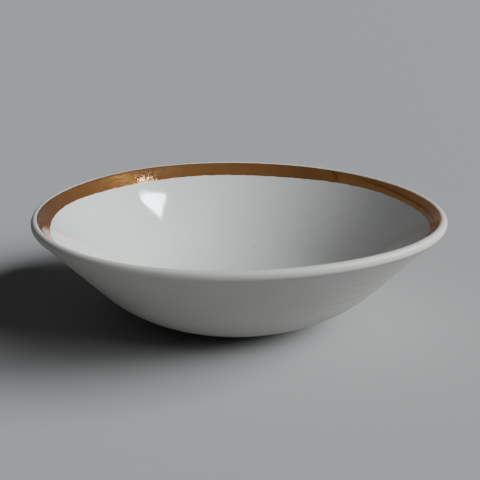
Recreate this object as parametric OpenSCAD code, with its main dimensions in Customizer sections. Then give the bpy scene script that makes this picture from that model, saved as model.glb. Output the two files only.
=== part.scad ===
// Hand-thrown porcelain serving bowl with a rounded lip, a low foot ring,
// a glossy inside, a satin outside and a brushed gold lustre band inside the lip.
// Millimetres. Z up, with the origin on the table at the centre of the foot.

/* [Bowl] */
// Diameter across the outside of the lip
rim_d = 250; // [225:1:275]
// Height from the table to the top of the lip
bowl_h = 70; // [66:0.5:74]
// Angle of the straight outer flank above the horizontal
outer_angle = 46; // [45:0.5:47.5]
// Angle of the straight inner flank above the horizontal
inner_angle = 45; // [44:0.5:46]
// Radius of the flat floor inside the bowl
floor_r = 30; // [24:1:34]
// Thickness of the floor, glaze included
floor_t = 6; // [5:0.5:7]

/* [Lip] */
// Thickness of the rounded lip
lip_t = 5.2; // [4.8:0.1:5.6]
// Height of the upright face between the two roundings of the lip
lip_face = 0.6; // [0.2:0.1:1.2]
// How far the lip stands proud of the outer flank
lip_overhang = 0.3; // [0.1:0.1:0.5]

/* [Foot] */
// Diameter of the foot ring where it meets the wall
foot_d = 78; // [72:1:88]
// Height of the foot ring
foot_h = 2.4; // [2:0.1:3.2]
// Width of the foot ring at the wall
foot_w = 7; // [6:0.5:9]
// Angle at which the belly runs into the foot ring
belly_angle = 9; // [5:1:12]

/* [Coats] */
// Thickness of the glaze
glaze_t = 0.35; // [0.25:0.05:0.5]
// Thickness of the gold lustre
gold_t = 0.12; // [0.08:0.02:0.2]
// Distance from the outside of the lip to the gold's upper edge
gold_inset = 3.5; // [2.9:0.1:3.8]
// Width of the gold that lies on the flat flank, below the lip's rounding
gold_flank_w = 9.6; // [7:0.1:14]

/* [Hidden] */
$fn = 128;
arc_steps = 16;
lip_steps = 8;
gold_steps = 4;
foot_steps = 6;
foot_edge_r = 0.8;
foot_side_taper = 0.4;
foot_well_bevel = 1.2;

// The lip is rounded about two centres, one above the other.
lip_r = lip_t / 2;
lip_upper = [rim_d / 2 - lip_r, bowl_h - lip_r];
lip_lower = lip_upper - [0, lip_face];

// Outward directions, square to the outer flank and to the inner flank.
outer_normal = outer_angle - 90;
inner_normal = inner_angle + 90;
outer_dir = [cos(outer_normal), sin(outer_normal)];
inner_dir = [cos(inner_normal), sin(inner_normal)];

// The belly is one arc from the foot ring to the outer flank, tangent to the flank.
foot_r = foot_d / 2;
flank_reach = lip_lower * outer_dir + lip_r - lip_overhang;
belly_r = (flank_reach - [foot_r, foot_h] * outer_dir) / (1 - cos(outer_angle - belly_angle));
belly = [foot_r, foot_h] + belly_r * [-sin(belly_angle), cos(belly_angle)];

// The well is one arc from the inner flank to the flat floor, tangent to both.
floor_z = foot_h + floor_t;
well_r = ([floor_r, floor_z] * inner_dir - lip_upper * inner_dir - lip_r) / (1 - cos(inner_angle));
well = [floor_r, floor_z + well_r];

// The unglazed underside of the clay, and the direction round the lip at which the gold starts.
under_z = foot_h + glaze_t * cos(belly_angle);
under_r = foot_r - glaze_t * sin(belly_angle);
foot_inner_r = under_r - foot_w;
gold_start = acos((lip_r - gold_inset) / lip_r);

// Points on an arc, from one direction to another.
function arc(centre, radius, from, to, steps) =
    [for (i = [0 : steps]) let (a = from + (to - from) * i / steps) centre + radius * [cos(a), sin(a)]];

// Every point of a list but its first, for joining lists that share an end.
function rest_of(points) = [for (i = [1 : len(points) - 1]) points[i]];

function reversed(points) = [for (i = [len(points) - 1 : -1 : 0]) points[i]];

// Direction from the lower lip centre to the crease where the lip meets the flank.
function crease(coat) = outer_normal - acos((lip_r - lip_overhang + coat) / (lip_r + coat));

// Outside of the bowl from the foot over the lip to where the lip's rounding ends,
// raised by a coat's thickness. The gold covers the end of the outer glaze.
function outside(coat) = concat(
    arc(belly, belly_r + coat, belly_angle - 90, outer_normal, arc_steps),
    arc(lip_lower, lip_r + coat, crease(coat), 0, lip_steps),
    arc(lip_upper, lip_r + coat, 0, gold_start, lip_steps),
    rest_of(arc(lip_upper, lip_r + coat, gold_start, inner_normal, gold_steps)));

// Points at the top and at the foot of the flank's gold, raised by a coat's thickness.
function flank_top(coat) = lip_upper + (lip_r + coat) * inner_dir;
function flank_gold_end(coat) = flank_top(coat) - gold_flank_w * [cos(inner_angle), sin(inner_angle)];

// Inside of the bowl from the end of the lip's rounding to the middle of the floor.
function inside(coat) = concat(
    [flank_top(coat), flank_gold_end(coat)],
    arc(well, well_r - coat, inner_angle - 90, -90, arc_steps),
    [[0, floor_z + coat]]);

// The surface that carries the gold, from its upper edge on the lip down the flank.
function gold_zone(coat) = concat(
    arc(lip_upper, lip_r + coat, gold_start, inner_normal, gold_steps),
    [flank_gold_end(coat)]);

// A thin coat between a surface and the same surface raised by the coat's thickness.
module coat_between(base, face) {
    rotate_extrude() polygon(concat(face, reversed(base)));
}

module porcelain_body() {
    color("#efece6")
        rotate_extrude()
            polygon(concat([[0, under_z]], outside(-glaze_t), rest_of(inside(-glaze_t))));
}

module foot_ring() {
    outer_edge = [under_r - foot_side_taper - foot_edge_r, foot_edge_r];
    inner_edge = [foot_inner_r + foot_well_bevel + foot_edge_r, foot_edge_r];
    color("#d9cdbb")
        rotate_extrude()
            polygon(concat(
                [[foot_inner_r, under_z]],
                arc(inner_edge, foot_edge_r, 180, 270, foot_steps),
                arc(outer_edge, foot_edge_r, 270, 360, foot_steps),
                [[under_r, under_z]]));
}

module outer_glaze() {
    color("#e6e4de") coat_between(outside(-glaze_t), outside(0));
}

module inner_glaze() {
    color("#f0f0ee") coat_between(inside(-glaze_t), inside(0));
}

module foot_well_glaze() {
    color("#e6e4de") translate([0, 0, under_z - glaze_t]) cylinder(r = foot_inner_r, h = glaze_t);
}

module gold_band() {
    color("#a8703a") coat_between(gold_zone(0), gold_zone(gold_t));
}

porcelain_body();
foot_ring();
outer_glaze();
inner_glaze();
foot_well_glaze();
gold_band();
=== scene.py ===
"""A hand-thrown porcelain serving bowl with a gold lustre band inside its lip.

Every piece is a turned profile, warped a little out of round as a thrown bowl is, and replaces
the CAD node of the same name. Metres, Z up, with the origin under the middle of the foot.
"""

from math import cos, pi, radians, sin

import bpy
import numpy as np
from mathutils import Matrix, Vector


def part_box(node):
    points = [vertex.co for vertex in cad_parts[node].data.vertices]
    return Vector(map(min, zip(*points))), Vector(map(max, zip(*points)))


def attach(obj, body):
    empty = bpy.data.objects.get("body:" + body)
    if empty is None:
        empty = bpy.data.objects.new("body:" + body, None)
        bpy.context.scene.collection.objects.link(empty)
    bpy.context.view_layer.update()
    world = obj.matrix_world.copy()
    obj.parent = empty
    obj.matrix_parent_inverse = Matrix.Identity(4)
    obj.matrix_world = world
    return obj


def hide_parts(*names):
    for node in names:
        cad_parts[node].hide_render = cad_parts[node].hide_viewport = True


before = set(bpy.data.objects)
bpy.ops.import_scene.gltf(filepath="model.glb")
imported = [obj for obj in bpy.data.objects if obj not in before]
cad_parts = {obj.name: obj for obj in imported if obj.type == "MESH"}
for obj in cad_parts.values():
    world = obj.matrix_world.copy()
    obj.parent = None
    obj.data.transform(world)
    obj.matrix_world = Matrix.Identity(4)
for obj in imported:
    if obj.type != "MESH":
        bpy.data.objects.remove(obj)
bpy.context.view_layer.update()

MM = 0.001

# ---------------------------------------------------------------- sizes, from the frame
outer_low, outer_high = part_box("outer_glaze")
clay_low, clay_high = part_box("porcelain_body")
inner_low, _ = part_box("inner_glaze")
_, foot_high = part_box("foot_ring")

RIM_R = outer_high.x
LIP_TOP = outer_high.z
GLAZE_T = outer_high.x - clay_high.x
FLOOR_Z = inner_low.z + GLAZE_T
UNDER_Z = clay_low.z

# Shapes that the frame's boxes don't give, as in the CAD model.
LIP_R = 2.6 * MM
LIP_FACE = 0.6 * MM
LIP_OVERHANG = 0.3 * MM
OUTER_SLOPE = radians(46)
INNER_SLOPE = radians(45)
BELLY_SLOPE = radians(9)
FLOOR_R = 30 * MM
FOOT_R = foot_high.x + GLAZE_T * sin(BELLY_SLOPE)
FOOT_H = outer_low.z
FOOT_W = 7 * MM
FOOT_TAPER = 0.4 * MM
FOOT_BEVEL = 1.2 * MM
FOOT_EDGE_R = 0.8 * MM

# How far the thrown shape differs from the plain arcs and lines.
CREASE_SOFTNESS = 0.45 * MM
FLANK_BEND = radians(3)

# How the thrown rim wanders, as (waves round the rim, height in mm, degrees to the first crest).
RIM_LIFT = ((1, 0.25, 180), (2, 0.2, 120), (3, 0.9, 87), (4, 0.1, 30))
RIM_SPREAD = ((2, 0.3, 60), (3, 1.25, 108), (4, 1.5, 47))
STILL_R = 0.3 * RIM_R


# ---------------------------------------------------------------- the turned profile
PATH_STEP = 0.1 * MM


def arc(centre, radius, start, end):
    """Points on an arc, from one direction to another."""
    count = max(2, int(radius * abs(end - start) / PATH_STEP))
    a = np.linspace(start, end, count)
    return centre + radius * np.column_stack((np.cos(a), np.sin(a)))


def joined(parts):
    """One polyline through all the parts, with a point every PATH_STEP."""
    line = np.concatenate(parts)
    length = np.concatenate(([0], np.cumsum(np.linalg.norm(np.diff(line, axis=0), axis=1))))
    even = np.arange(0, length[-1], PATH_STEP)
    return np.column_stack([np.interp(even, length, line[:, k]) for k in (0, 1)])


def softened(line, width):
    """The line with its corners rounded, as a melted glaze rounds them. Its ends stay put."""
    reach = int(4 * width / PATH_STEP)
    weight = np.exp(-0.5 * (np.arange(-reach, reach + 1) * PATH_STEP / width) ** 2)
    weight /= weight.sum()
    before = 2 * line[0] - line[reach:0:-1]
    after = 2 * line[-1] - line[-2:-reach - 2:-1]
    padded = np.concatenate((before, line, after))
    return np.column_stack([np.convolve(padded[:, k], weight, "valid") for k in (0, 1)])


def bend(start, slope_at_start, end, slope_at_end):
    """A smooth curve down between two points, with the given slopes at its ends."""
    ways = [np.array((-cos(slope), -sin(slope))) for slope in (slope_at_start, slope_at_end)]
    to_corner = np.linalg.solve(np.column_stack(ways), end - start)[0]
    corner = start + to_corner * ways[0]
    t = np.linspace(0, 1, 300)[:, None]
    return start * (1 - t) ** 2 + corner * 2 * t * (1 - t) + end * t ** 2


def bowl_line():
    """The bowl's surface from the foot's edge, over the lip and down to the middle of the floor."""
    upper = np.array((RIM_R - LIP_R, LIP_TOP - LIP_R))
    lower = upper - (0, LIP_FACE)
    outer_turn = OUTER_SLOPE - pi / 2
    inner_turn = INNER_SLOPE + pi / 2
    outer_dir = np.array((cos(outer_turn), sin(outer_turn)))
    inner_dir = np.array((cos(inner_turn), sin(inner_turn)))
    foot = np.array((FOOT_R, FOOT_H))
    reach = lower @ outer_dir + LIP_R - LIP_OVERHANG
    belly_r = (reach - foot @ outer_dir) / (1 - cos(OUTER_SLOPE - BELLY_SLOPE))
    belly = foot + belly_r * np.array((-sin(BELLY_SLOPE), cos(BELLY_SLOPE)))
    floor_edge = np.array((FLOOR_R, FLOOR_Z))
    well_r = (floor_edge @ inner_dir - upper @ inner_dir - LIP_R) / (1 - cos(INNER_SLOPE))
    well = floor_edge + (0, well_r)
    lip_side = arc(upper, LIP_R, 0, inner_turn + FLANK_BEND)
    well_side = arc(well, well_r, INNER_SLOPE - FLANK_BEND - pi / 2, -pi / 2)
    flank = bend(lip_side[-1], INNER_SLOPE + FLANK_BEND, well_side[0], INNER_SLOPE - FLANK_BEND)
    crease = outer_turn - np.arccos((LIP_R - LIP_OVERHANG) / LIP_R)
    return joined((
        arc(belly, belly_r, BELLY_SLOPE - pi / 2, outer_turn),
        arc(lower, LIP_R, crease, 0),
        lip_side,
        flank,
        well_side,
        [(0, FLOOR_Z)],
    ))


# The surface and, at each of its points, the distance along it, its heading and the way out of the clay.
LINE = softened(bowl_line(), CREASE_SOFTNESS)
ALONG = np.arange(len(LINE)) * PATH_STEP
HEADING = np.gradient(LINE, axis=0)
HEADING /= np.linalg.norm(HEADING, axis=1)[:, None]
OUTWARD = np.column_stack((HEADING[:, 1], -HEADING[:, 0]))
END = ALONG[-1]
LIP_AT = ALONG[LINE[:, 1].argmax()]
SEAM_AT = LIP_AT + LIP_R * INNER_SLOPE
FINE_FROM = LIP_AT - 7 * MM


def on_line(along, raised=0.0):
    """Radius and height at a distance along the line, raised square to the surface."""
    r, z, out_r, out_z = (np.interp(along, ALONG, v) for v in (*LINE.T, *OUTWARD.T))
    return r + raised * out_r, z + raised * out_z


FINE_ROW, COARSE_ROW = 0.3 * MM, 1.3 * MM


def rows(start, end):
    """Distances along the line, close together round the lip and wider on the flanks."""
    at = np.arange(start, end, PATH_STEP)
    by_lip = (at > FINE_FROM) & (at < SEAM_AT + 1 * MM)
    tally = np.concatenate(([0], np.cumsum(PATH_STEP / np.where(by_lip, FINE_ROW, COARSE_ROW))))
    at = np.append(at, end)
    return np.interp(np.linspace(0, tally[-1], int(tally[-1]) + 2), tally, at)


# ---------------------------------------------------------------- hand-made irregularity
def wave_sum(waves, angle):
    """Waves round the rim, in metres."""
    return MM * sum(height * np.cos(count * (angle - radians(crest))) for count, height, crest in waves)


def smooth_step(low, high, value):
    """0 at low and 1 at high, or the other way round, with a smooth rise between."""
    t = np.clip((value - low) / (high - low), 0, 1)
    return t * t * (3 - 2 * t)


def warped(r, z, angle):
    """Points of a turned shape, moved out of round near the rim and not at all near the foot."""
    give = smooth_step(STILL_R, RIM_R, r)
    r = r + give * wave_sum(RIM_SPREAD, angle)
    z = z + give * wave_sum(RIM_LIFT, angle)
    return np.stack(np.broadcast_arrays(r * np.cos(angle), r * np.sin(angle), z), -1)


# The finger ridges of each side: their pitch, their depth and the clear way on each side of the lip.
INNER_RINGS = (7.5 * MM, 0.008 * MM, 55 * MM)
OUTER_RINGS = (9.5 * MM, 0.045 * MM, 8 * MM)
FADE_BY_LIP, FADE_BY_FOOT, FADE_BY_AXIS = 12 * MM, 6 * MM, 20 * MM


def throwing_rings(along, angle, pitch, depth, clear_of_lip):
    """The potter's finger ridges: a shallow spiral that fades out towards the lip and the ends."""
    turn = 2 * pi * along / pitch + angle
    fade = smooth_step(0, FADE_BY_LIP, np.abs(along - LIP_AT) - clear_of_lip)
    fade = fade * smooth_step(0, FADE_BY_FOOT, along) * smooth_step(0, FADE_BY_AXIS, END - along)
    return depth * fade * (np.sin(turn) + 0.45 * np.sin(2.3 * turn + 1.7 * np.sin(angle)))


# ---------------------------------------------------------------- meshes
SHARP_ANGLE = radians(38)


def circle_angles(count):
    return np.arange(count) * 2 * pi / count


def make_piece(node, points, closed):
    """A closed mesh from points[row, step round, xyz], which stands for a CAD node.

    closed joins the last row to the first. Otherwise the first and last rows are closed
    on the axis. The piece rides on the bowl's one body.
    """
    count, steps = points.shape[:2]
    vertices = points.reshape(-1, 3)
    row = np.arange(count if closed else count - 1)[:, None]
    step = np.arange(steps)[None, :]
    after, beside = (row + 1) % count, (step + 1) % steps
    faces = np.stack(
        (row * steps + step, row * steps + beside, after * steps + beside, after * steps + step), -1
    ).reshape(-1, 4).tolist()
    if not closed:
        ends = (points[0].mean(0), points[-1].mean(0))
        first, last = len(vertices), len(vertices) + 1
        vertices = np.concatenate((vertices, ends))
        base = (count - 1) * steps
        ring = np.arange(steps)
        following = (ring + 1) % steps
        faces += np.column_stack((np.full(steps, first), following, ring)).tolist()
        faces += np.column_stack((np.full(steps, last), base + ring, base + following)).tolist()
    mesh = bpy.data.meshes.new(f"thrown_{node}")
    mesh.from_pydata(vertices.tolist(), [], faces)
    mesh.validate()
    mesh.polygons.foreach_set("use_smooth", np.ones(len(mesh.polygons), bool))
    mesh.set_sharp_from_angle(angle=SHARP_ANGLE)
    piece = bpy.data.objects.new(f"thrown_{node}", mesh)
    bpy.context.scene.collection.objects.link(piece)
    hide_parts(node)
    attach(piece, "root")
    return piece


GLAZE_STEPS = 480
HIDDEN_STEPS = 240
GLAZE_EDGE = 0.6 * MM
AXIS_GAP = 1 * MM
FOOT_UNEVEN = 0.05 * MM


def inner_face(along, angle, raised=0.0):
    """The glossy side's surface, with the throwing rings that show through its glaze."""
    rings = throwing_rings(along, angle, *INNER_RINGS)
    return warped(*on_line(along, rings + raised), angle)


def make_outer_glaze():
    """Satin glaze from a rolled edge at the foot, up the outside and over the lip."""
    angle = circle_angles(GLAZE_STEPS)[None, :]
    edge = GLAZE_EDGE * (1 - np.cos(np.linspace(0, pi / 2, 6)[:-1]))
    at = np.concatenate((edge, rows(GLAZE_EDGE, SEAM_AT)))[:, None]
    short = np.clip(1 - at / GLAZE_EDGE, 0, 1)
    roll = -GLAZE_T * (1 - np.sqrt(1 - short ** 2))
    rings = throwing_rings(at, angle, *OUTER_RINGS)
    face = warped(*on_line(at, roll + rings), angle)
    back = warped(*on_line(rows(0, SEAM_AT)[-2:0:-2, None], -GLAZE_T), angle)
    return make_piece("outer_glaze", np.concatenate((face, back)), closed=True)


def make_inner_glaze():
    """Glossy glaze from under the gold down to the middle of the floor."""
    angle = circle_angles(GLAZE_STEPS)[None, :]
    at = rows(SEAM_AT, END - AXIS_GAP)[:, None]
    back = warped(*on_line(at[::-2], -GLAZE_T), angle)
    return make_piece("inner_glaze", np.concatenate((back, inner_face(at, angle))), closed=False)


def make_porcelain_body():
    """The clay under the glazes, with its flat underside."""
    angle = circle_angles(HIDDEN_STEPS)[None, :]
    surface = warped(*on_line(rows(0, END - AXIS_GAP)[:, None], -GLAZE_T), angle)
    underside = warped(np.array([[AXIS_GAP], [FOOT_R / 2]]), UNDER_Z, angle)
    return make_piece("porcelain_body", np.concatenate((underside, surface)), closed=False)


def make_foot_ring():
    """The bare foot ring, its trimmed sides a little uneven from the turning tool."""
    angle = circle_angles(HIDDEN_STEPS)[None, :]
    top_r, land = foot_high.x, FOOT_EDGE_R
    inside_r = top_r - FOOT_W
    outer = arc((top_r - FOOT_TAPER - land, land), land, -pi / 2, 0)
    inner = arc((inside_r + FOOT_BEVEL + land, land), land, pi, 3 * pi / 2)
    outline = np.concatenate(([(inside_r, UNDER_Z)], inner, outer, [(top_r, UNDER_Z)]))
    r, z = outline.T[:, :, None]
    uneven = FOOT_UNEVEN * np.sin(6 * angle + 1.0) * smooth_step(0, UNDER_Z, z) * (z < UNDER_Z)
    return make_piece("foot_ring", warped(r + uneven, z, angle), closed=True)


def make_foot_well_glaze():
    """The thin glaze inside the foot ring, rounded off at its edge and a little uneven."""
    angle = circle_angles(HIDDEN_STEPS)[None, :]
    edge_r = foot_high.x - FOOT_W
    r = np.linspace(AXIS_GAP, edge_r, 24)[:, None]
    thick = GLAZE_T * np.sqrt(np.clip(1 - (r / edge_r) ** 8, 0, 1))
    uneven = thick * (1 + 0.12 * np.cos(3 * angle + 0.8) * (r / edge_r) ** 2)
    points = (warped(r, UNDER_Z - uneven, angle), warped(r[-2::-1], UNDER_Z, angle))
    return make_piece("foot_well_glaze", np.concatenate(points), closed=False)


# ---------------------------------------------------------------- the gold, brushed on
GOLD_STEPS = 1440
GOLD_ROWS = 44
GOLD_FILM, GOLD_ROUNDED, GOLD_SUNK = 0.03 * MM, 0.8 * MM, 0.05 * MM
HAIR_PITCH, HAIR_DEPTH = 0.9 * MM, 0.006 * MM

# Each edge of the gold: how far down from the top of the lip, its waves, its raggedness and a seed.
GOLD_UPPER = 1.3 * MM, ((1, 0.3, 27), (2, 0.2, 64), (3, 0.1, 46), (5, 0.1, 13), (6, 0.1, 34)), 0.5, 3
GOLD_LOWER = (
    11.3 * MM,
    ((1, 0.5, 178), (2, 0.8, 92), (3, 0.3, 90), (4, 0.3, 35), (5, 0.2, 72), (6, 0.3, 15)),
    1,
    5,
)
RAGGED_WAVES = range(40, 400, 16)
RAGGED_HEIGHT = 1.2 * MM

# The lap, where the last stroke ends on the first: its place, its slant and the width of its ridge.
LAP_AT, LAP_SLANT, LAP_WIDTH = radians(56), 1.1, 0.8 * MM
# The patch that came out pitted, and the haze that trails from it. Its pale speckles are painted glints.
PITS_AT, PITS_REACH, PITS_SLANT = radians(124.2), radians(5.5), radians(2)
HAZE_FROM, HAZE_FULL = radians(101), radians(114)
# Places round the rim in degrees, with their widths: darker ones with an amount, those at 140 and 178
# degrees being painted shade that dims the gold's reflection; a painted highlight; a matt one.
DARKER_AND_PAINTED_SHADE_PLACES = ((2, 9, 0.35), (66, 7, 0.36), (140, 6, 0.14), (178, 15, 0.35))
PAINTED_HIGHLIGHT_PLACE = (130.5, 3.5)
MATT_PLACE = (125.5, 1.5)


def ragged(angle, seed):
    """A small wander of a hand-brushed edge, in metres."""
    draw = np.random.RandomState(seed)
    return sum(RAGGED_HEIGHT / k ** 0.8 * np.sin(k * angle + draw.uniform(0, 2 * pi)) for k in RAGGED_WAVES)


def brushed_edge(angle, down, waves, raggedness, seed):
    """The distance along the line at which an edge of the gold lies."""
    return LIP_AT + down + wave_sum(waves, angle) + raggedness * ragged(angle, seed)


def hump(value, middle, width):
    """1 in the middle, falling smoothly to 0 on both sides."""
    return np.exp(-0.5 * ((value - middle) / width) ** 2)


def wrapped(angle):
    """The angle brought between minus half a turn and half a turn."""
    return (angle + pi) % (2 * pi) - pi


def near(angle, degrees, width):
    """A hump round the rim, centred at some degrees, with its width in degrees."""
    return hump(wrapped(angle - radians(degrees)), 0, radians(width))


def record_value(piece, name, values):
    """A number at each vertex, for the piece's material to read."""
    layer = piece.data.attributes.new(name, "FLOAT", "POINT")
    layer.data.foreach_set("value", np.concatenate(values).ravel().astype(np.float32))


def last_stroke(turn, across, past_lap):
    """Where the last stroke lies, how far across the band its edge runs, and the line along that edge."""
    covered = smooth_step(MM, -MM, past_lap) * smooth_step(radians(-20), 0, turn)
    edge = 0.35 + 0.25 * smooth_step(radians(45), radians(15), turn)
    line = hump(across, edge, 0.07) * smooth_step(radians(50), radians(32), turn) * covered
    return covered, edge, line


def pitted_places(turn, across):
    """How pitted the gold is: most at the heart of the patch, and half as much at most in the haze."""
    from_patch = np.abs(turn - PITS_AT + PITS_SLANT * (across - 0.5))
    patch = smooth_step(PITS_REACH, 0.6 * PITS_REACH, from_patch) * smooth_step(0.1, 0.4, across)
    heart = hump(turn, PITS_AT + radians(1), radians(2.5)) * smooth_step(0.4, 0.8, across)
    haze = smooth_step(HAZE_FROM, HAZE_FULL, turn) * smooth_step(PITS_AT + PITS_REACH, PITS_AT, turn)
    return np.maximum(patch * (0.6 + 0.4 * heart), 0.5 * haze * hump(across, 0.36, 0.12))


def make_gold_band():
    """Gold lustre brushed on in one turn and lapped where the stroke ends.

    Across runs from 0 at the gold's upper edge to 1 at its lower edge. The places where the gold
    is darker, lighter, matt or pitted are recorded on the mesh for its material. Some darker
    places are painted shade, the lighter ones are mostly painted highlights, and the pitted
    places carry painted glints.
    """
    angle = circle_angles(GOLD_STEPS)[None, :]
    turn = wrapped(angle)
    upper, lower = brushed_edge(angle, *GOLD_UPPER), brushed_edge(angle, *GOLD_LOWER)
    across = (1 - np.cos(np.linspace(0, pi, GOLD_ROWS)))[:, None] / 2
    at = upper + (lower - upper) * across
    past_lap = RIM_R * (turn - LAP_AT) + LAP_SLANT * (at - LIP_AT)
    covered, edge, line = last_stroke(turn, across, past_lap)

    to_edge = np.minimum(at - upper, lower - at)
    film = GOLD_FILM * (1 - (1 - to_edge / GOLD_ROUNDED).clip(0, 1) ** 2)
    thicker = 0.9 * hump(past_lap, 0, LAP_WIDTH)
    thicker = thicker + 0.5 * covered * smooth_step(edge - 0.08, edge + 0.08, across)
    hairs = np.sin(2 * pi * (at - upper) / HAIR_PITCH + 2 * np.sin(3 * angle))
    raised = film * (1 + thicker) + HAIR_DEPTH * hairs * smooth_step(0, MM, to_edge)
    under = at[-2:0:-6]
    points = np.concatenate((inner_face(at, angle, raised), inner_face(under, angle, -GOLD_SUNK)))
    piece = make_piece("gold_band", points, closed=True)

    # Darker gold along the last stroke's edge and just past the lap; the darker places at 140 and 178
    # degrees round the rim are painted shade that dims the reflection.
    darker_and_painted_shade = 0.9 * line + 0.8 * hump(past_lap, 1.5 * MM, 1.2 * MM) * smooth_step(1.1, 0.3, across)
    darker_and_painted_shade = darker_and_painted_shade + sum(amount * near(angle, degrees, width) for degrees, width, amount in DARKER_AND_PAINTED_SHADE_PLACES)
    # Painted highlights: lighter gold beside the lap ridge and at the place before the pitted patch stand in
    # for reflected light. Below the last stroke's edge the gold is made paler too.
    light = hump(past_lap, -3 * MM, 2.5 * MM) * hump(across, 0.85, 0.12)
    light = light + 0.5 * smooth_step(edge, edge + 0.2, across) * covered * smooth_step(0, radians(25), turn)
    light = light + 0.6 * near(angle, *PAINTED_HIGHLIGHT_PLACE)
    matt = near(angle, *MATT_PLACE) * smooth_step(0.68, 0.95, across)
    pitted = pitted_places(turn, across)
    unseen = np.zeros_like(under)
    marks = {"darker_and_painted_shade": darker_and_painted_shade.clip(0, 1), "light": light.clip(0, 1), "matt": matt, "pitted": pitted}
    for name, values in marks.items():
        record_value(piece, name, (values, unseen))
    return piece


# ---------------------------------------------------------------- materials
GLOSS_COOL, GLOSS_WARM, IRON = (0.695, 0.705, 0.708), (0.725, 0.73, 0.722), (0.30, 0.20, 0.10)
SATIN_PALE, SATIN_DEEP = (0.71, 0.70, 0.665), (0.64, 0.63, 0.595)
GOLD_RICH, GOLD_PALE, GOLD_DEEP = (0.82, 0.38, 0.135), (0.86, 0.43, 0.17), (0.66, 0.26, 0.08)
# The lap's dark colour, also laid on as painted shade, and a light colour laid on as painted highlights and
# a paler strip.
GOLD_LAP_AND_PAINTED_SHADE, GOLD_PALER_AND_PAINTED_HIGHLIGHT = (0.30, 0.12, 0.05), (1.0, 0.49, 0.14)
# The pitted patch's haze colour, and the pale colour of the glints painted into it.
GOLD_HAZE, GOLD_PAINTED_GLINT = (0.40, 0.22, 0.12), (1.0, 0.75, 0.45)
CLAY_WHITE, CLAY_GREY = (0.80, 0.78, 0.74), (0.72, 0.69, 0.64)
FOOT_BUFF, FOOT_BROWN = (0.66, 0.58, 0.47), (0.55, 0.46, 0.35)

# Iron specks in the glossy glaze, as x, y and radius in mm, seen from above, and how much they show.
IRON_SPECKS = (
    (-42, 71, 0.8), (12, 69, 0.8), (16, 107, 0.8), (16, 83, 0.6), (53, 76, 0.7), (35, 71, 0.6),
    (13, 38, 0.5), (29, 6, 0.6), (-47, 25, 0.5), (-70, -18, 0.5), (-100, 30, 0.5), (10, -20, 0.6),
    (60, -48, 0.7), (-30, -66, 0.5), (88, -8, 0.5),
)
SPECK_SHOWS = 0.6

# The gold's relief: the pits' grain and the brush streaks.
PIT_DEPTH, STREAK_DEPTH = 0.312 * MM, 0.0108 * MM


def add_node(tree, kind, inputs, **settings):
    """A shader node. An input is a value, or the output of another node."""
    node = tree.nodes.new("ShaderNode" + kind)
    for name, value in settings.items():
        setattr(node, name, value)
    for key, value in inputs.items():
        if isinstance(value, bpy.types.NodeSocket):
            tree.links.new(value, node.inputs[key])
        else:
            node.inputs[key].default_value = value
    return node


def new_material(name):
    material = bpy.data.materials.new(name)
    material.use_nodes = True
    return material, material.node_tree, material.node_tree.nodes["Principled BSDF"]


def object_coordinates(tree):
    return add_node(tree, "TexCoord", {}).outputs["Object"]


def noise(tree, scale, detail=2.0, at=None):
    """Smooth noise from 0 to 1, scale being the number of blobs in a metre."""
    vector = object_coordinates(tree) if at is None else at
    return add_node(tree, "TexNoise", {"Vector": vector, "Scale": scale, "Detail": detail}).outputs["Fac"]


def spread(tree, value, low, high, to_low, to_high):
    """The value moved from one range to another, and kept inside it."""
    inputs = {0: value, 1: low, 2: high, 3: to_low, 4: to_high}
    return add_node(tree, "MapRange", inputs, clamp=True).outputs[0]


def maths(tree, operation, *values):
    return add_node(tree, "Math", dict(enumerate(values)), operation=operation).outputs[0]


def mixed(tree, factor, first, second):
    """A colour between two colours."""
    mix = add_node(tree, "Mix", {0: factor}, data_type="RGBA")
    for socket, colour in ((mix.inputs[6], first), (mix.inputs[7], second)):
        if isinstance(colour, bpy.types.NodeSocket):
            tree.links.new(colour, socket)
        else:
            socket.default_value = (*colour, 1)
    return mix.outputs[2]


def connect(tree, shader, **sources):
    for name, source in sources.items():
        tree.links.new(source, shader.inputs[name.replace("_", " ")])


def bumped(tree, shader, height, depth):
    """Fine relief, depth being the height in metres of a full step of the source."""
    bump = add_node(tree, "Bump", {"Height": height, "Distance": depth, "Strength": 1.0})
    tree.links.new(bump.outputs["Normal"], shader.inputs["Normal"])


def iron_specks(tree):
    """1 at the middle of a speck, falling to 0 at its edge."""
    flat = add_node(tree, "VectorMath", {0: object_coordinates(tree), 1: (1, 1, 0)}, operation="MULTIPLY")
    shade = 0.0
    for x, y, radius in IRON_SPECKS:
        spot = {0: flat.outputs[0], 1: (x * MM, y * MM, 0)}
        away = add_node(tree, "VectorMath", spot, operation="DISTANCE").outputs["Value"]
        shade = maths(tree, "MAXIMUM", shade, spread(tree, away, 0, radius * MM, 1, 0))
    return shade


def gloss_glaze():
    """Clear glossy glaze over white porcelain, cool, with a few iron specks."""
    material, tree, shader = new_material("gloss_glaze")
    clouds = mixed(tree, spread(tree, noise(tree, 14, 3), 0.35, 0.65, 0, 1), GLOSS_COOL, GLOSS_WARM)
    colour = mixed(tree, maths(tree, "MULTIPLY", iron_specks(tree), SPECK_SHOWS), clouds, IRON)
    connect(tree, shader, Base_Color=colour, Roughness=spread(tree, noise(tree, 90), 0.3, 0.7, 0.025, 0.045))
    bumped(tree, shader, noise(tree, 700, 3), 0.0022 * MM)
    return material


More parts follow.
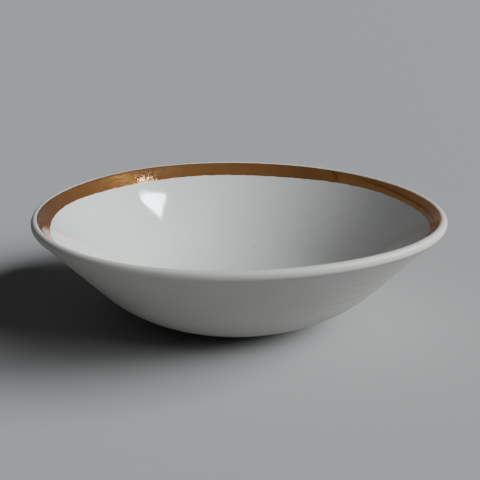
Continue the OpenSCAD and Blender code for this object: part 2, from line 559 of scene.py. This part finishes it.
def satin_glaze():
    """Satin glaze over the same porcelain, faintly mottled and warmer than the inside."""
    material, tree, shader = new_material("satin_glaze")
    clouds = maths(tree, "ADD", noise(tree, 22, 4), maths(tree, "MULTIPLY", noise(tree, 260, 2), 0.35))
    colour = mixed(tree, spread(tree, clouds, 0.45, 0.9, 0, 1), SATIN_PALE, SATIN_DEEP)
    connect(tree, shader, Base_Color=colour, Roughness=spread(tree, noise(tree, 70), 0.3, 0.7, 0.38, 0.5))
    bumped(tree, shader, noise(tree, 900, 3), 0.008 * MM)
    return material


def clay(name, colour, deep, grain, roughness):
    """Bare fired clay with a fine grain."""
    material, tree, shader = new_material(name)
    mottle = maths(tree, "ADD", noise(tree, 40, 4), maths(tree, "MULTIPLY", noise(tree, 1400, 2), 0.5))
    connect(
        tree, shader,
        Base_Color=mixed(tree, spread(tree, mottle, 0.5, 1.0, 0, 1), colour, deep),
        Roughness=spread(tree, noise(tree, 500), 0.3, 0.7, roughness - 0.08, roughness + 0.08),
    )
    bumped(tree, shader, noise(tree, 2200, 3), grain)
    return material


def gold_lustre():
    """Fired gold lustre with brush streaks along the rim, and with the marks recorded on the mesh."""
    material, tree, shader = new_material("gold_lustre")
    place = object_coordinates(tree)
    x, y, z = add_node(tree, "SeparateXYZ", {0: place}).outputs
    turn = maths(tree, "ARCTAN2", y, x)
    streak_at = add_node(tree, "CombineXYZ", {0: maths(tree, "MULTIPLY", turn, 0.02), 1: z}).outputs[0]
    streaks = noise(tree, 900, 3, streak_at)
    broad = noise(tree, 60, 2)
    darker_and_painted_shade, light, matt, pitted = (
        add_node(tree, "Attribute", {}, attribute_name=name).outputs["Fac"]
        for name in ("darker_and_painted_shade", "light", "matt", "pitted")
    )
    cells = add_node(tree, "TexVoronoi", {"Vector": place, "Scale": 1000})
    cell_tone = add_node(tree, "SeparateColor", {0: cells.outputs["Color"]}).outputs[0]
    patch = maths(tree, "MULTIPLY", pitted, spread(tree, noise(tree, 350, 2), 0.35, 0.55, 0.6, 1))

    tone = mixed(tree, spread(tree, broad, 0.35, 0.65, 0, 1), GOLD_RICH, GOLD_PALE)
    tone = mixed(tree, spread(tree, streaks, 0.5, 0.75, 0, 0.5), tone, GOLD_DEEP)
    # Darker along the stroke edge and the lap, and painted shade at two places towards the back left.
    tone = mixed(tree, maths(tree, "MULTIPLY", darker_and_painted_shade, 0.8), tone, GOLD_LAP_AND_PAINTED_SHADE)
    # Painted highlights, and a paler strip of gold below the last stroke's edge.
    tone = mixed(tree, light, tone, GOLD_PALER_AND_PAINTED_HIGHLIGHT)
    # Pitted patch: dark haze cells, and pale cells that are painted glints.
    haze_and_painted_glints = mixed(tree, spread(tree, cell_tone, 0.45, 0.55, 0, 1), GOLD_HAZE, GOLD_PAINTED_GLINT)
    tone = mixed(tree, maths(tree, "MULTIPLY", patch, 0.8), tone, haze_and_painted_glints)
    dull = maths(tree, "ADD", maths(tree, "MULTIPLY", matt, 0.2), maths(tree, "MULTIPLY", light, 0.02))
    roughness = maths(tree, "ADD", spread(tree, streaks, 0.3, 0.7, 0.12, 0.2), dull)
    connect(tree, shader, Base_Color=tone, Roughness=roughness)
    shader.inputs["Metallic"].default_value = 1.0
    grain = maths(tree, "MULTIPLY", noise(tree, 1400, 0), maths(tree, "POWER", patch, 2))
    relief = maths(tree, "ADD", maths(tree, "MULTIPLY", streaks, STREAK_DEPTH / PIT_DEPTH), grain)
    bumped(tree, shader, relief, PIT_DEPTH)
    return material


# ---------------------------------------------------------------- stage, light and camera
# The floor is paler to the camera than to the bowl, so that it throws little light up at the bowl.
FLOOR_GREY, FLOOR_SEEN, FLOOR_ACROSS = (0.28, 0.28, 0.284), (0.42, 0.42, 0.424), 200
CAMERA_AT, CAMERA_AIM = (0, -0.5321, 0.2113), (0.0013, 0, 0.0477)
LENS, SENSOR = 67.5, 36
KEY_LIGHTS = (
    # degrees round from the right, degrees up, degrees across, strength
    (-2, 30, 34, 3.9),
    (-34, 36, 30, 1.35),
)
DAYLIGHT = (0.96, 0.982, 1.0)
# How bright the room is as a light, behind the floor's edge, and in the gloss from left to right.
WORLD_AMBIENT, BACKDROP = 0.04, 0.34
ROOM_LEFT, ROOM_MIDDLE, ROOM_RIGHT = 0.07, 0.17, 0.28
# The window faces a place on the bowl's inside. Its corners are metres sideways and up on its plane.
WINDOW_FROM, WINDOW_TO, WINDOW_AWAY = (-0.06, 0.083, 0.05), (0.53, 0.04, 0.847), 1.5
WINDOW_CORNERS = (
    (-0.065, 0.155), (-0.05, 0.113), (-0.02, 0.063), (0.012, 0.015), (0.08, -0.072), (0.17, -0.165),
    (0.1, -0.062), (0.035, 0.047),
)
WINDOW_COLOUR, WINDOW_STRENGTH = (0.78, 0.89, 1.0), 90.0


def look_at(thing, at, target):
    thing.location = at
    thing.rotation_euler = (Vector(target) - Vector(at)).to_track_quat("-Z", "Y").to_euler()
    bpy.context.scene.collection.objects.link(thing)


def make_stage():
    bpy.ops.mesh.primitive_plane_add(size=FLOOR_ACROSS)
    floor = bpy.context.object
    floor.name = "floor"
    material, tree, shader = new_material("floor_paper")
    in_view = add_node(tree, "LightPath", {}).outputs["Is Camera Ray"]
    connect(tree, shader, Base_Color=mixed(tree, in_view, FLOOR_GREY, FLOOR_SEEN))
    shader.inputs["Roughness"].default_value = 0.85
    floor.data.materials.append(material)


def make_world():
    """A dim room that lights the bowl a little, and shows in its gloss as brighter to the right."""
    world = bpy.context.scene.world or bpy.data.worlds.new("room")
    bpy.context.scene.world = world
    world.use_nodes = True
    tree = world.node_tree
    facing = add_node(tree, "TexCoord", {}).outputs["Generated"]
    across = add_node(tree, "SeparateXYZ", {0: facing}).outputs[0]
    left = spread(tree, across, -1, 0, ROOM_LEFT - ROOM_MIDDLE, 0)
    right = spread(tree, across, 0, 1, ROOM_MIDDLE, ROOM_RIGHT)
    in_gloss = add_node(tree, "LightPath", {}).outputs["Is Glossy Ray"]
    room = maths(tree, "ADD", left, right)
    strength = spread(tree, in_gloss, 0, 1, WORLD_AMBIENT, room)
    in_view = add_node(tree, "LightPath", {}).outputs["Is Camera Ray"]
    strength = spread(tree, in_view, 0, 1, strength, BACKDROP)
    tree.links.new(strength, tree.nodes["Background"].inputs["Strength"])
    tree.nodes["Background"].inputs["Color"].default_value = (1, 1, 1, 1)


def make_key_lights():
    for round_from_right, up, across, strength in KEY_LIGHTS:
        light = bpy.data.lights.new("softbox", "SUN")
        light.angle, light.energy, light.color = radians(across), strength, DAYLIGHT
        a, e = radians(round_from_right), radians(up)
        at = 2 * Vector((cos(e) * cos(a), cos(e) * sin(a), sin(e)))
        look_at(bpy.data.objects.new("softbox", light), at, (0, 0, 0))


def make_window(shown_in):
    """A bright patch of window that shows only in the gloss of one piece."""
    to = Vector(WINDOW_TO).normalized()
    side = to.cross(Vector((0, 1, 0))).normalized()
    up = side.cross(to)
    middle = Vector(WINDOW_FROM) + WINDOW_AWAY * to
    corners = [middle + side * s + up * u for s, u in WINDOW_CORNERS]
    mesh = bpy.data.meshes.new("window")
    mesh.from_pydata(corners, [], [range(len(corners))])
    material, _, shader = new_material("window_light")
    shader.inputs["Base Color"].default_value = (0, 0, 0, 1)
    shader.inputs["Emission Color"].default_value = (*WINDOW_COLOUR, 1)
    shader.inputs["Emission Strength"].default_value = WINDOW_STRENGTH
    mesh.materials.append(material)
    window = bpy.data.objects.new("window", mesh)
    bpy.context.scene.collection.objects.link(window)
    window.visible_diffuse = window.visible_shadow = window.visible_camera = False
    receivers = bpy.data.collections.new("shows_the_window")
    receivers.objects.link(shown_in)
    window.light_linking.receiver_collection = receivers


def make_camera():
    camera = bpy.data.cameras.new("camera")
    camera.lens, camera.sensor_width = LENS, SENSOR
    seat = bpy.data.objects.new("camera", camera)
    look_at(seat, CAMERA_AT, CAMERA_AIM)
    bpy.context.scene.camera = seat


# ---------------------------------------------------------------- the bowl
satin = satin_glaze()
smooth_clay = clay("porcelain", CLAY_WHITE, CLAY_GREY, grain=0.01 * MM, roughness=0.6)
bare_clay = clay("bare_porcelain", FOOT_BUFF, FOOT_BROWN, grain=0.03 * MM, roughness=0.75)
FINISHES = (
    (make_porcelain_body, smooth_clay, "porcelain"),
    (make_foot_ring, bare_clay, "bare_porcelain"),
    (make_outer_glaze, satin, "satin_glaze"),
    (make_foot_well_glaze, satin, "satin_glaze"),
    (make_inner_glaze, gloss_glaze(), "gloss_glaze"),
    (make_gold_band, gold_lustre(), "gold_lustre"),
)
for make, material, slot in FINISHES:
    piece = make()
    piece.data.materials.append(material)

make_stage()
make_world()
make_key_lights()
make_window(bpy.data.objects["thrown_inner_glaze"])
make_camera()
